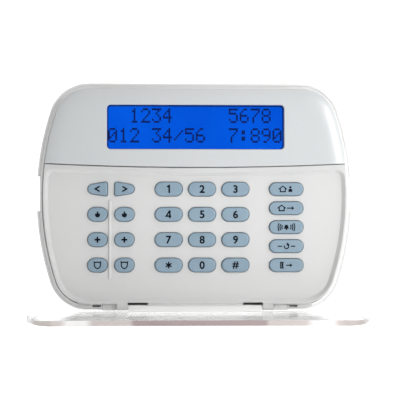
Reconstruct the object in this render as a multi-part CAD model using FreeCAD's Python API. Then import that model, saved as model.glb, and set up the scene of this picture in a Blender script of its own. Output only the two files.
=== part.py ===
import FreeCAD, Part
import math
import os

# Wall keypad of an alarm system, millimetres.
# X points to the right, Z up and Y into the wall. The wall plane is Y = 0, the front of the case
# is at Y = -CASE_DEPTH, and the origin is the centre of the back. The flip-down door is shown open.

# Case outline: flat top and bottom, bowed sides and round corners, all tangent.
HALF_WIDTH = 84.2
HALF_HEIGHT = 60.5
SIDE_RADIUS = 146.0
CORNER_RADIUS = 21.5
CASE_DEPTH = 20.0

# How far each shell lies inside the outline. The skirt of the door fits between rim and casing.
RIM_THICKNESS = 1.3
RIM_ROUNDING = 0.6
RIM_CHAMFER = 0.25
SHELL_INSET = 3.9
SHELL_WALL = 2.0
GROOVE_INSET = 2.8
CORE_INSET = 2.0
DOOR_INSET = 1.9
SKIRT_THICKNESS = 1.2
SILL_INSET = 1.6
TRAY_INSET = 6.7
BOARD_INSET = 7.0

# Depths, as Y.
RIM_FRONT = -9.0
GROOVE_FLOOR = -8.6
CORE_FRONT = -7.1
PLATE_FRONT = -2.0
SHELL_BACK = -2.4
LEDGE_FRONT = -14.6
DECK_BACK = -12.8
RIDGE_FRONT = -17.4
RIDGE_ROUNDING = 0.4
TRAY_FRONT = -15.6
TRAY_BACK = -13.8
BOARD_FRONT = -9.4
BOARD_BACK = -7.8
COVER_BACK_OF_FRONT = -18.2
SKIRT_BACK = -14.9
FLANGE_OF_DOOR_FRONT = -18.2
SILL_FRONT = -12.0
SILL_BACK = -9.1
OVERLAP = 0.5

# The seam between the display cover and the door sags in one long arc.
SEAM_Z = 15.3
SEAM_RADIUS = 1580.0
SEAM_HALF_GAP = 0.15
TRAY_TOP_GAP = 4.4
TRAY_CORNER = 5.0

# The front edge of cover and door rolls off in a quarter ellipse.
CROWN_WIDTH = 9.0
CROWN_DROP = 1.8
CROWN_STEPS = 12

# Door hinge.
HINGE_Y = -15.3
HINGE_Z = -58.3
BARREL_RADIUS = 1.2
BARREL_HALF = 35.2
WEB_TOP = -57.1
WEB_FRONT = -17.8
STOP_HALF = 25.0
STOP_ROOT = 0.8
STOP_REACH = 1.62
STOP_WIDTH = 0.6
RELIEF_RADIUS = 1.9
MOUTH_BOTTOM = -60.3
MOUTH_TOP = -55.8
POCKET_FLOOR = -57.3
POCKET_BACK = -8.1
LUG_START = 35.5
LUG_END = 41.2
LUG_RADIUS = 1.75
LUG_NECK = 3.0
PIN_RADIUS = 1.0
PIN_CLEARANCE = 0.05
PIN_END = 39.2
DOOR_OPEN_DEG = 90.0
SKIRT_BOTTOM = -38.0

# Keys: columns (X), rows (Z) and sizes.
LEFT_COLUMNS = (-51.5, -37.4)
NUMBER_COLUMNS = (-14.1, 3.5, 21.1)
FUNCTION_COLUMN = 48.0
TOP_ROW = 3.9
ROW_PITCH = 13.35
FUNCTION_PITCH = 10.04
LEFT_KEY = (10.3, 7.3)
NUMBER_KEY = (14.4, 7.3)
FUNCTION_KEY = (17.9, 6.8)
SCROLL_TIP = (2.6, 2.5)
SCROLL_BUTT = (4.15, 2.65, 1.0)
KEY_FRONT = -17.0
KEY_GAP = 0.25
KEY_HOLE_BEVEL = 0.15
KEY_ROUNDING = 0.7
FLANGE_GROWTH = 0.7
FLANGE_FRONT = -13.5
FLANGE_BACK = -11.7
PILL_RADIUS = 1.8
PILL_TIP = -10.7
BOND_LINE = 0.02
MAT_FRONT = -10.4
MAT_HOLE_RADIUS = 2.6
PAD_RADIUS = 2.2
PAD_FRONT = -9.5
MAT_HALF = 60.0
MAT_SPAN_Z = (-43.2, 10.5)
MAT_CORNER = 3.0
LAMP_WINDOW = (2.8, 1.6)
LAMP = (2.0, 0.9)
STATUS_LAMP = (1.6, 0.9)
LAMP_HEIGHT = 0.6

# Rib between the two columns of alarm keys.
RIB_X = (-45.75, -44.05)
RIB_Z = (-43.5, -1.9)
RIB_HEIGHT = 0.9
RIB_ROUNDING = 0.6

# Display.
DISPLAY_Z = 36.4
WINDOW = (93.2, 23.4)
WINDOW_RADIUS = 2.0
WINDOW_BEVEL = 0.4
LENS_GAP = 0.2
LENS_FRONT = -19.4
LENS_PLATE = (97.6, 28.0)
LENS_BACK = -17.2
LENS_ROUNDING = 0.3
BEZEL = (101.0, 29.6)
BEZEL_FRONT = -16.8
BEZEL_SHEET = 0.5
BEZEL_VIEW = (97.2, 26.4)
BEZEL_ROUNDING = 0.4
CELL = (99.2, 27.8)
CELL_FRONT = -16.2
CELL_BACK = -13.6
BACKLIGHT_HEIGHT = 23.2
CONNECTOR_HALF = 46.0
CONNECTOR_SPAN = (12.1, 13.7)
DISPLAY_HOLE = (102.4, 30.8)

# Screws and bosses.
BOARD_BOSSES = ((62.0, 46.0), (68.0, -10.0), (54.0, -47.0))
BOARD_BOSS_RADIUS = 3.0
BOARD_HOLE_RADIUS = 1.3
BOARD_PILOT_RADIUS = 1.0
COVER_BOSSES = ((69.5, 24.0), (57.0, 52.0))
COVER_BOSS_RADIUS = 2.2
COVER_HOLE_RADIUS = 1.3
COVER_PILOT_RADIUS = 0.8
PILOT_DEPTH = 3.0
SCREW_TIP_DEPTH = 2.6
SCREW_HEAD_HEIGHT = 1.5
SCREW_HEAD_ROUNDING = 0.6
RECESS_DEPTH = 0.7
RECESS = (2.6, 0.6)

# Status lamps beside the display.
STATUS_X = 55.8
STATUS_Z = (44.6, 38.5, 32.4, 26.3)
STATUS_HOLE_RADIUS = 1.6
STATUS_POST_RADIUS = 1.4
STRIP_HALF = 1.3
STRIP_MARGIN = 1.5
STRIP_FRONT = -12.0
STRIP_BACK = -10.5

# Wall plate.
CORNER_SCREW_X = 60.0
CORNER_SCREW_Z = 38.0
BOX_SCREW_Z = 41.65
WALL_SCREW_RADIUS = 2.1
CABLE_ENTRY = (30.0, 22.0)
CABLE_ENTRY_Z = -23.0
GRIP_INSET = 1.8
GRIP_TOP = 10.9
GRIP_BOTTOM = -7.7
TAB_INNER = 41.7
TAB_OUTER = 49.1
TAB_GAP = 0.2
TAB_BACK = -3.2
TAB_SLOT_BACK = -3.0
PRY_INNER = 49.9
PRY_OUTER = 54.3
PRY_SPAN_Z = (-58.45, -57.35)
PRY_FLOOR = -7.6
SILL_HALF = 62.0
SILL_TOP = -55.6
HOOK_X = 45.0
HOOK_HALF = 4.0
HOOK_FRONT = -5.2
HOOK_BACK = -3.6
HOOK_ROOT = 3.2
HOOK_PLAY = 0.4
HOOK_REACH = 1.6
HOOK_WALL_Z = HALF_HEIGHT - SHELL_INSET - SHELL_WALL

# Tamper switch.
TAMPER_X = 40.0
TAMPER_Z = -22.0
TAMPER_HOLE_RADIUS = 2.2
TAMPER_BORE = 2.0
TAMPER_ROD = 1.4
TAMPER_HEAD = 1.8
TAMPER_HEAD_FRONT = -4.4
TAMPER_STEP = -3.8
TAMPER_TIP = -0.3
TAMPER_TIP_ROUNDING = 0.4
TAMPER_CASE_HALF = 3.5
TAMPER_CASE_BACK = -3.2
BORE_BOTTOM = -7.4
SPRING_RADIUS = 1.5
SPRING_WIRE_RADIUS = 0.12
SPRING_PITCH = 0.9
SPRING_TURNS = 3
SPRING_SEAT = 0.03

# Parts on the back of the board.
CHIP_CENTRE = (-30.0, 10.0)
CHIP_HALF = 5.0
CHIP_SPAN_Y = (-7.7, -6.3)
LEAD_PITCH = 1.1
LEADS_PER_SIDE = 8
BLOCK_BACK = -2.8
BLOCK_SCREW_Z = -1.5
WIRE_PITCH = 5.0
HEADER_SPAN_X = (-42.0, -31.8)
HEADER_SPAN_Z = (-6.0, -3.4)
HEADER_Z = -4.7
HEADER_PITCH = 2.54
PIN_HALF = 0.32
BUZZER_CENTRE = (-42.0, -26.0)
BUZZER_RADIUS = 6.5
BUZZER_BACK = -3.2
BUZZER_HOLE = 1.2

BOTH_SIDES = (-1, 1)


def vec(x, y, z):
    return FreeCAD.Vector(x, y, z)


def box(x, y, z):
    """Block between the two values of each pair."""
    return Part.makeBox(x[1] - x[0], y[1] - y[0], z[1] - z[0], vec(x[0], y[0], z[0]))


def post(x, z, radius, front, back):
    """Cylinder along Y between two depths."""
    return Part.makeCylinder(radius, back - front, vec(x, front, z), vec(0, 1, 0))


def mirrored(points):
    return [(side * x, z) for side in BOTH_SIDES for x, z in points]


def fuse(shapes):
    return shapes[0].multiFuse(shapes[1:]).removeSplitter()


def outline_wire(inset, y):
    """Case outline pulled in by inset, in the plane at depth y."""
    corner_z = HALF_HEIGHT - CORNER_RADIUS
    side_centre = HALF_WIDTH - SIDE_RADIUS
    reach = SIDE_RADIUS - CORNER_RADIUS
    corner_x = side_centre + math.sqrt(reach**2 - corner_z**2)
    handover = math.atan2(corner_z, corner_x - side_centre)
    radius = CORNER_RADIUS - inset

    def corner(side, up, angle):
        x = corner_x + radius * math.cos(angle)
        z = corner_z + radius * math.sin(angle)
        return vec(side * x, y, up * z)

    def corner_arc(side, up, angles):
        return Part.Arc(*[corner(side, up, angle) for angle in angles]).toShape()

    falling = (math.pi / 2, (math.pi / 2 + handover) / 2, handover)
    rising = tuple(reversed(falling))

    def side_arc(side, up):
        ends = [corner(side, up, handover), corner(side, -up, handover)]
        middle = vec(side * (HALF_WIDTH - inset), y, 0)
        return Part.Arc(ends[0], middle, ends[1]).toShape()

    top = Part.makeLine(corner(-1, 1, math.pi / 2), corner(1, 1, math.pi / 2))
    bottom = Part.makeLine(corner(1, -1, math.pi / 2), corner(-1, -1, math.pi / 2))
    return Part.Wire([
        top,
        corner_arc(1, 1, falling),
        side_arc(1, 1),
        corner_arc(1, -1, rising),
        bottom,
        corner_arc(-1, -1, falling),
        side_arc(-1, -1),
        corner_arc(-1, 1, rising),
    ])


def slab(inset, front, back):
    """Full outline between two depths."""
    return Part.Face(outline_wire(inset, front)).extrude(vec(0, back - front, 0))


def above_seam(shape, gap):
    """What of a shape lies above the seam, gap away from it."""
    centre = vec(0, -2 * CASE_DEPTH, SEAM_Z + SEAM_RADIUS)
    disc = Part.makeCylinder(SEAM_RADIUS - gap, 3 * CASE_DEPTH, centre, vec(0, 1, 0))
    return shape.common(disc)


def below_seam(shape, gap):
    """What of a shape lies below the seam, gap away from it."""
    centre = vec(0, -2 * CASE_DEPTH, SEAM_Z + SEAM_RADIUS)
    disc = Part.makeCylinder(SEAM_RADIUS + gap, 3 * CASE_DEPTH, centre, vec(0, 1, 0))
    return shape.cut(disc)


def crowned_slab(back):
    """Shell outline with a rolled-off front edge, solid back to the given depth."""
    shoulder = CROWN_DROP - CASE_DEPTH
    wires = [outline_wire(SHELL_INSET, back)]
    for step in range(CROWN_STEPS + 1):
        angle = math.pi / 2 * step / CROWN_STEPS
        inset = SHELL_INSET + CROWN_WIDTH * (1 - math.cos(angle))
        wires.append(outline_wire(inset, shoulder - CROWN_DROP * math.sin(angle)))
    return Part.makeLoft(wires, True, True)


def rounded_panel(size, radius, z, front, back):
    """Rectangle with round corners, centred at X = 0 and the given height."""
    half_x = size[0] / 2 - radius
    half_z = size[1] / 2 - radius
    corners = [(side * half_x, z + up * half_z, radius) for side in BOTH_SIDES for up in BOTH_SIDES]
    return hull_prism(corners, front, back)


def hull_prism(circles, front, back):
    """Prism around circles (x, z, radius), joined by their outer tangents."""
    centre_x = sum(c[0] for c in circles) / len(circles)
    centre_z = sum(c[1] for c in circles) / len(circles)
    ring = sorted(circles, key=lambda c: math.atan2(c[1] - centre_z, c[0] - centre_x))
    tangents = []
    for first, second in zip(ring, ring[1:] + ring[:1]):
        dx = second[0] - first[0]
        dz = second[1] - first[1]
        turn = math.asin((first[2] - second[2]) / math.hypot(dx, dz))
        angle = math.atan2(dz, dx) - math.pi / 2 + turn
        tangents.append((first, second, angle))

    def on_circle(circle, angle):
        return vec(circle[0] + circle[2] * math.cos(angle), front, circle[1] + circle[2] * math.sin(angle))

    edges = []
    for (first, second, angle), (_, _, following) in zip(tangents, tangents[1:] + tangents[:1]):
        turn = (following - angle) % (2 * math.pi)
        edges.append(Part.makeLine(on_circle(first, angle), on_circle(second, angle)))
        points = [on_circle(second, angle + turn * part / 2) for part in range(3)]
        edges.append(Part.Arc(*points).toShape())
    return Part.Face(Part.Wire(edges)).extrude(vec(0, back - front, 0))


def front_edges(shape, front):
    """Edges that lie in the plane at depth front."""
    return [edge for edge in shape.Edges if all(abs(v.Y - front) < 1e-4 for v in edge.Vertexes)
            and abs(edge.CenterOfMass.y - front) < 1e-4]


def is_sharp(shape, edge):
    """True where the two faces beside an edge meet at a real corner."""
    beside = shape.ancestorsOfType(edge, Part.Face)
    point = edge.CenterOfMass
    normals = [face.normalAt(*face.Surface.parameter(point)) for face in beside]
    return normals[0].cross(normals[1]).Length > 0.1


def rounded_front(shape, front, radius):
    return shape.makeFillet(radius, front_edges(shape, front))


def flared(shape, depth, amount):
    """Cutting tool whose end at the given depth is bevelled, so that it leaves a bevelled mouth."""
    return shape.makeChamfer(0.98 * amount, front_edges(shape, depth))


def pill_circles(x, z, size):
    radius = size[1] / 2
    half = size[0] / 2 - radius
    return [(x - half, z, radius), (x + half, z, radius)]


def scroll_circles(x, z, side):
    """Tapered key: a narrow round end pointing to the given side and a tall squared end."""
    tip_x, tip_radius = SCROLL_TIP
    butt_x, butt_z, butt_radius = SCROLL_BUTT
    tip = (x + side * tip_x, z, tip_radius)
    return [tip] + [(x - side * butt_x, z + up * butt_z, butt_radius) for up in BOTH_SIDES]


def key_layout():
    """Every key: its name, its centre and the circles that its outline wraps."""
    keys = []
    left, right = LEFT_COLUMNS
    keys.append(("key_left", left, TOP_ROW, scroll_circles(left, TOP_ROW, -1)))
    keys.append(("key_right", right, TOP_ROW, scroll_circles(right, TOP_ROW, 1)))
    for row, name in enumerate(("fire", "medical", "panic"), start=1):
        z = TOP_ROW - row * ROW_PITCH
        keys.append((f"key_{name}_a", left, z, pill_circles(left, z, LEFT_KEY)))
        keys.append((f"key_{name}_b", right, z, pill_circles(right, z, LEFT_KEY)))
    names = ("1", "2", "3", "4", "5", "6", "7", "8", "9", "star", "0", "hash")
    for index, name in enumerate(names):
        x = NUMBER_COLUMNS[index % 3]
        z = TOP_ROW - (index // 3) * ROW_PITCH
        keys.append((f"key_{name}", x, z, pill_circles(x, z, NUMBER_KEY)))
    for row, name in enumerate(("stay", "away", "chime", "reset", "exit")):
        z = TOP_ROW - row * FUNCTION_PITCH
        keys.append((f"key_{name}", FUNCTION_COLUMN, z, pill_circles(FUNCTION_COLUMN, z, FUNCTION_KEY)))
    return keys


def grown(circles, amount):
    return [(x, z, radius + amount) for x, z, radius in circles]


def lamp_places():
    """Key lamps sit between the keys, in the gaps of the rows."""
    middles = [TOP_ROW - (row + 0.5) * ROW_PITCH for row in range(3)]
    left_x = sum(LEFT_COLUMNS) / 2
    between = [(NUMBER_COLUMNS[i] + NUMBER_COLUMNS[i + 1]) / 2 for i in range(2)]
    places = [(x, z) for x in [left_x] + between for z in middles]
    places += [(FUNCTION_COLUMN, TOP_ROW - (row + 0.5) * FUNCTION_PITCH) for row in range(4)]
    return places


def base_opening(x, z):
    """Cutting block that goes right through the base of the wall plate."""
    return box(x, (2 * PLATE_FRONT, 1), z)


def base_hole(x, z, radius):
    return post(x, z, radius, 2 * PLATE_FRONT, 1)


def plate_tray():
    """Base with its stepped rim. The foot of the rim is cored out from the wall side."""
    outer = rounded_front(slab(0, RIM_FRONT, 0), RIM_FRONT, RIM_ROUNDING)
    groove = slab(RIM_THICKNESS, RIM_FRONT - 1, GROOVE_FLOOR)
    mouth_depth = RIM_FRONT + RIM_CHAMFER
    mouth = flared(slab(RIM_THICKNESS - RIM_CHAMFER, RIM_FRONT - 1, mouth_depth), mouth_depth, RIM_CHAMFER)
    inside = slab(GROOVE_INSET, GROOVE_FLOOR - 1, PLATE_FRONT)
    core = slab(RIM_THICKNESS, CORE_FRONT, 1).cut(slab(CORE_INSET, CORE_FRONT - 1, 2))
    return outer.cut(groove).cut(mouth).cut(inside).cut(core)


def plate_hook(side):
    """Hook near the top of the base: a foot, and a nose that points up into the casing."""
    span = (side * HOOK_X - HOOK_HALF, side * HOOK_X + HOOK_HALF)
    foot = box(span, (HOOK_FRONT, PLATE_FRONT), (HOOK_WALL_Z - HOOK_ROOT, HOOK_WALL_Z - HOOK_PLAY))
    nose = box(span, (HOOK_FRONT, HOOK_BACK), (HOOK_WALL_Z - HOOK_PLAY, HOOK_WALL_Z + HOOK_REACH))
    return [foot, nose]


def make_wall_plate():
    """Shallow tray: base, rim, wall screw holes, cable entry, hooks and cut-outs in the rim."""
    half_x = CABLE_ENTRY[0] / 2
    half_z = CABLE_ENTRY[1] / 2
    cuts = [base_opening((-half_x, half_x), (CABLE_ENTRY_Z - half_z, CABLE_ENTRY_Z + half_z))]
    cuts.append(base_hole(TAMPER_X, TAMPER_Z, TAMPER_HOLE_RADIUS))
    for up in BOTH_SIDES:
        cuts.append(base_hole(0, up * BOX_SCREW_Z, WALL_SCREW_RADIUS))
    hooks = []
    for side in BOTH_SIDES:
        for up in BOTH_SIDES:
            cuts.append(base_hole(side * CORNER_SCREW_X, up * CORNER_SCREW_Z, WALL_SCREW_RADIUS))
        grip = sorted((side * (HALF_WIDTH - GRIP_INSET), side * (HALF_WIDTH + 1)))
        cuts.append(box(grip, (RIM_FRONT - 1, 1), (GRIP_BOTTOM, GRIP_TOP)))
        tab = sorted((side * TAB_INNER, side * TAB_OUTER))
        cuts.append(box(tab, (RIM_FRONT - 1, TAB_SLOT_BACK), (-HALF_HEIGHT - 1, SHELL_INSET - HALF_HEIGHT)))
        pry = sorted((side * PRY_INNER, side * PRY_OUTER))
        cuts.append(box(pry, (RIM_FRONT - 1, PRY_FLOOR), PRY_SPAN_Z))
        hooks += plate_hook(side)
    plate = plate_tray().cut(Part.makeCompound(cuts))
    return fuse([plate] + hooks)


def make_front_housing():
    """Front casing: side wall, deck under the cover, recessed key tray and its raised border."""
    shell = slab(SHELL_INSET, LEDGE_FRONT, SHELL_BACK)
    ridge = below_seam(slab(SHELL_INSET, RIDGE_FRONT, LEDGE_FRONT), SEAM_HALF_GAP)
    ridge = rounded_front(ridge, RIDGE_FRONT, RIDGE_ROUNDING)
    inside = slab(SHELL_INSET + SHELL_WALL, DECK_BACK, SHELL_BACK)
    low_inside = below_seam(slab(TRAY_INSET + SHELL_WALL, TRAY_BACK, DECK_BACK), TRAY_TOP_GAP + SHELL_WALL)
    housing = shell.fuse([ridge, bottom_sill()]).cut(tray_pocket()).cut(inside.fuse(low_inside))
    bosses = [post(x, z, BOARD_BOSS_RADIUS, TRAY_BACK - OVERLAP, BOARD_FRONT)
              for x, z in mirrored(BOARD_BOSSES)]
    tabs = [release_tab(side) for side in BOTH_SIDES]
    lugs = [hinge_lug(side) for side in BOTH_SIDES]
    housing = housing.cut(hinge_relief())
    housing = housing.cut(Part.makeCompound(key_hole_flares()))
    housing = fuse([housing, key_rib()] + bosses + tabs + lugs)
    return housing.cut(Part.makeCompound(housing_holes()))


def bottom_sill():
    """Narrow sill that closes the gap under the casing, with a pry slot beside each release tab.

    Between the hinge lugs a lip runs forward under the casing, as the floor of the dark pockets
    behind the hinge mouths.
    """
    low = box((-SILL_HALF, SILL_HALF), (SILL_FRONT, SILL_BACK), (-HALF_HEIGHT, SILL_TOP))
    sill = slab(SILL_INSET, SILL_FRONT, SILL_BACK).common(low)
    lip = box((-LUG_START, LUG_START), (LEDGE_FRONT, SILL_FRONT), (SILL_INSET - HALF_HEIGHT, POCKET_FLOOR))
    cuts = []
    for side in BOTH_SIDES:
        tab = sorted((side * TAB_INNER, side * TAB_OUTER))
        pry = sorted((side * PRY_INNER, side * PRY_OUTER))
        cuts.append(box(tab, (SILL_FRONT - 1, 0), (-HALF_HEIGHT, SILL_TOP)))
        cuts.append(box(pry, (SILL_FRONT - 1, 0), PRY_SPAN_Z))
    return sill.fuse(lip).cut(Part.makeCompound(cuts))


def key_hole_flares():
    """Bevelled mouths of the key openings in the tray floor."""
    depth = TRAY_FRONT + KEY_HOLE_BEVEL
    growth = KEY_GAP + KEY_HOLE_BEVEL
    return [flared(hull_prism(grown(circles, growth), RIDGE_FRONT, depth), depth, KEY_HOLE_BEVEL)
            for _, _, _, circles in key_layout()]


def tray_pocket():
    """Pocket of the key field, with round upper corners and a bevelled edge."""
    bevel = TRAY_FRONT - RIDGE_FRONT
    pocket = below_seam(slab(TRAY_INSET - bevel, 2 * RIDGE_FRONT, TRAY_FRONT), TRAY_TOP_GAP - bevel)
    upright = [edge for edge in pocket.Edges
               if abs(edge.tangentAt(edge.FirstParameter).y) > 0.99 and edge.CenterOfMass.z > 0]
    pocket = pocket.makeFillet(TRAY_CORNER, [edge for edge in upright if is_sharp(pocket, edge)])
    return pocket.makeChamfer(bevel, front_edges(pocket, TRAY_FRONT))


def key_rib():
    """Low rib that parts the two columns of alarm keys."""
    rib = box(RIB_X, (TRAY_FRONT - RIB_HEIGHT, TRAY_FRONT + OVERLAP), RIB_Z)
    return rounded_front(rib, TRAY_FRONT - RIB_HEIGHT, RIB_ROUNDING)


def release_tab(side):
    """Snap tab that fills the cut-out at the bottom of the rim."""
    span = sorted((side * (TAB_INNER + TAB_GAP), side * (TAB_OUTER - TAB_GAP)))
    return box(span, (SILL_FRONT, TAB_BACK), (-HALF_HEIGHT + TAB_GAP, -HALF_HEIGHT + SHELL_INSET + OVERLAP))


def hinge_lug(side):
    """Lug that takes a stub pin of the door."""
    start = vec(side * LUG_START, HINGE_Y, HINGE_Z)
    eye = Part.makeCylinder(LUG_RADIUS, LUG_END - LUG_START, start, vec(side, 0, 0))
    span = sorted((side * LUG_START, side * LUG_END))
    neck = box(span, (HINGE_Y - LUG_RADIUS, HINGE_Y + LUG_RADIUS), (HINGE_Z, HINGE_Z + LUG_NECK))
    return eye.fuse(neck)


def hinge_relief():
    """Room for the barrel of the door, a mouth with a pocket at each end, and a slit between them."""
    start = vec(-LUG_START, HINGE_Y, HINGE_Z)
    channel = Part.makeCylinder(RELIEF_RADIUS, 2 * LUG_START, start, vec(1, 0, 0))
    openings = []
    for side in BOTH_SIDES:
        span = sorted((side * STOP_HALF, side * LUG_START))
        openings.append(box(span, (RIDGE_FRONT - 1, LEDGE_FRONT), (MOUTH_BOTTOM, MOUTH_TOP)))
        openings.append(box(span, (LEDGE_FRONT, POCKET_BACK), (POCKET_FLOOR, MOUTH_TOP)))
    joint_line = (-STOP_HALF, STOP_HALF)
    openings.append(box(joint_line, (LEDGE_FRONT, POCKET_BACK), (POCKET_FLOOR, SHELL_INSET - HALF_HEIGHT)))
    return channel.fuse(openings)


def housing_holes():
    """Openings of the housing: keys, display, status lamps, screws, hinge pins and hook slots."""
    holes = [hull_prism(grown(circles, KEY_GAP), RIDGE_FRONT, DECK_BACK)
             for _, _, _, circles in key_layout()]
    holes.append(centred_block(DISPLAY_HOLE, LEDGE_FRONT - 1, DECK_BACK + 1))
    for z in STATUS_Z:
        holes.append(post(STATUS_X, z, STATUS_HOLE_RADIUS, LEDGE_FRONT - 1, DECK_BACK + 1))
    for x, z in mirrored(BOARD_BOSSES):
        holes.append(post(x, z, BOARD_PILOT_RADIUS, BOARD_FRONT - PILOT_DEPTH, BOARD_FRONT + 1))
    for x, z in mirrored(COVER_BOSSES):
        holes.append(post(x, z, COVER_HOLE_RADIUS, LEDGE_FRONT - 1, DECK_BACK + 1))
    for side in BOTH_SIDES:
        start = vec(side * (LUG_START - OVERLAP), HINGE_Y, HINGE_Z)
        depth = PIN_END - LUG_START + 2 * OVERLAP
        holes.append(Part.makeCylinder(PIN_RADIUS + PIN_CLEARANCE, depth, start, vec(side, 0, 0)))
        slot_half = HOOK_HALF + HOOK_PLAY
        slot_x = (side * HOOK_X - slot_half, side * HOOK_X + slot_half)
        slot_y = (HOOK_FRONT - HOOK_PLAY, HOOK_BACK + HOOK_PLAY)
        holes.append(box(slot_x, slot_y, (HOOK_WALL_Z - HOOK_PLAY, HOOK_WALL_Z + SHELL_WALL + 1)))
    return holes


def make_top_cover():
    """Crowned panel around the display, with screw bosses on its back."""
    cover = above_seam(crowned_slab(LEDGE_FRONT), SEAM_HALF_GAP)
    hollow = above_seam(slab(SHELL_INSET + SHELL_WALL, COVER_BACK_OF_FRONT, LEDGE_FRONT), SHELL_WALL)
    bosses = [post(x, z, COVER_BOSS_RADIUS, COVER_BACK_OF_FRONT - OVERLAP, LEDGE_FRONT)
              for x, z in mirrored(COVER_BOSSES)]
    cover = fuse([cover.cut(hollow)] + bosses)
    window = rounded_panel(WINDOW, WINDOW_RADIUS, DISPLAY_Z, -CASE_DEPTH - 1, LEDGE_FRONT)
    wide = (WINDOW[0] + 2 * WINDOW_BEVEL, WINDOW[1] + 2 * WINDOW_BEVEL)
    depth = WINDOW_BEVEL - CASE_DEPTH
    mouth = flared(rounded_panel(wide, WINDOW_RADIUS + WINDOW_BEVEL, DISPLAY_Z, -CASE_DEPTH - 1, depth),
                   depth, WINDOW_BEVEL)
    pilots = [post(x, z, COVER_PILOT_RADIUS, LEDGE_FRONT - PILOT_DEPTH, LEDGE_FRONT + 1)
              for x, z in mirrored(COVER_BOSSES)]
    return cover.cut(Part.makeCompound([window.fuse(mouth)] + pilots))


def make_display_lens():
    """Clear window: a plate bonded behind the cover, with a raised pane that fills the opening."""
    pane_size = (WINDOW[0] - 2 * LENS_GAP, WINDOW[1] - 2 * LENS_GAP)
    pane = rounded_panel(pane_size, WINDOW_RADIUS - LENS_GAP, DISPLAY_Z, LENS_FRONT, LENS_BACK)
    pane = rounded_front(pane, LENS_FRONT, LENS_ROUNDING)
    plate = rounded_panel(LENS_PLATE, WINDOW_RADIUS, DISPLAY_Z, COVER_BACK_OF_FRONT, LENS_BACK)
    return fuse([pane, plate])


def centred_block(size, front, back, z=DISPLAY_Z):
    return box((-size[0] / 2, size[0] / 2), (front, back), (z - size[1] / 2, z + size[1] / 2))


def make_lcd_bezel():
    """Pressed frame that clamps the display cell to the board."""
    inner = (BEZEL[0] - 2 * BEZEL_SHEET, BEZEL[1] - 2 * BEZEL_SHEET)
    frame = rounded_front(centred_block(BEZEL, BEZEL_FRONT, BOARD_FRONT), BEZEL_FRONT, BEZEL_ROUNDING)
    frame = frame.cut(centred_block(inner, BEZEL_FRONT + BEZEL_SHEET, BOARD_FRONT))
    return frame.cut(rounded_panel(BEZEL_VIEW, 1.0, DISPLAY_Z, BEZEL_FRONT - 1, CELL_FRONT))


def make_lcd_glass():
    return centred_block(CELL, CELL_FRONT, CELL_BACK)


def make_lcd_backlight():
    """Wedge-free light guide that fills the space behind the cell."""
    return centred_block((CELL[0], BACKLIGHT_HEIGHT), CELL_BACK, BOARD_FRONT)


def make_lcd_connectors():
    """Two elastomer strips between the glass and the board."""
    near, far = CONNECTOR_SPAN
    strips = [box((-CONNECTOR_HALF, CONNECTOR_HALF), (CELL_BACK, BOARD_FRONT),
                  sorted((DISPLAY_Z + up * near, DISPLAY_Z + up * far))) for up in BOTH_SIDES]
    return Part.makeCompound(strips)


def make_main_board():
    board = slab(BOARD_INSET, BOARD_FRONT, BOARD_BACK)
    holes = [post(x, z, BOARD_HOLE_RADIUS, BOARD_FRONT - 1, BOARD_BACK + 1)
             for x, z in mirrored(BOARD_BOSSES)]
    return board.cut(Part.makeCompound(holes))


def screw(x, z, head_radius, shank_radius, seat, tip):
    """Pan-head screw driven from behind, with a cross recess."""
    top = seat + SCREW_HEAD_HEIGHT
    head = post(x, z, head_radius, seat, top)
    edge = [e for e in head.Edges if abs(e.CenterOfMass.y - top) < 1e-4]
    head = head.makeFillet(SCREW_HEAD_ROUNDING, edge)
    long_half = RECESS[0] / 2
    short_half = RECESS[1] / 2
    slots = [box((x - half_x, x + half_x), (top - RECESS_DEPTH, top + 1), (z - half_z, z + half_z))
             for half_x, half_z in ((long_half, short_half), (short_half, long_half))]
    shank = post(x, z, shank_radius, tip, seat)
    return head.cut(Part.makeCompound(slots)).fuse(shank)


def make_board_screws():
    head_radius = 2.4
    shank_radius = BOARD_PILOT_RADIUS - BOND_LINE
    tip = BOARD_FRONT - SCREW_TIP_DEPTH
    return Part.makeCompound([screw(x, z, head_radius, shank_radius, BOARD_BACK, tip)
                              for x, z in mirrored(BOARD_BOSSES)])


def make_cover_screws():
    head_radius = 2.1
    shank_radius = COVER_PILOT_RADIUS - BOND_LINE
    tip = LEDGE_FRONT - SCREW_TIP_DEPTH
    return Part.makeCompound([screw(x, z, head_radius, shank_radius, DECK_BACK, tip)
                              for x, z in mirrored(COVER_BOSSES)])


def block_at(x, z, size, front, back):
    """Block of the given width and height about a point."""
    half_x = size[0] / 2
    half_z = size[1] / 2
    return box((x - half_x, x + half_x), (front, back), (z - half_z, z + half_z))


def make_key_mat():
    """Silicone sheet on the board, open over each contact and each key lamp."""
    mat = box((-MAT_HALF, MAT_HALF), (MAT_FRONT, BOARD_FRONT), MAT_SPAN_Z)
    upright = [edge for edge in mat.Edges if abs(edge.tangentAt(edge.FirstParameter).y) > 0.99]
    mat = mat.makeFillet(MAT_CORNER, upright)
    holes = [post(x, z, MAT_HOLE_RADIUS, MAT_FRONT - 1, BOARD_FRONT + 1) for _, x, z, _ in key_layout()]
    holes += [block_at(x, z, LAMP_WINDOW, MAT_FRONT - 1, BOARD_FRONT + 1) for x, z in lamp_places()]
    return mat.cut(Part.makeCompound(holes))


def make_contact_pads():
    return Part.makeCompound([post(x, z, PAD_RADIUS, PAD_FRONT, BOARD_FRONT) for _, x, z, _ in key_layout()])


def make_key_leds():
    return Part.makeCompound([block_at(x, z, LAMP, BOARD_FRONT - LAMP_HEIGHT, BOARD_FRONT)
                              for x, z in lamp_places()])


def make_status_leds():
    return Part.makeCompound([block_at(STATUS_X, z, STATUS_LAMP, BOARD_FRONT - LAMP_HEIGHT, BOARD_FRONT)
                              for z in STATUS_Z])


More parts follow.
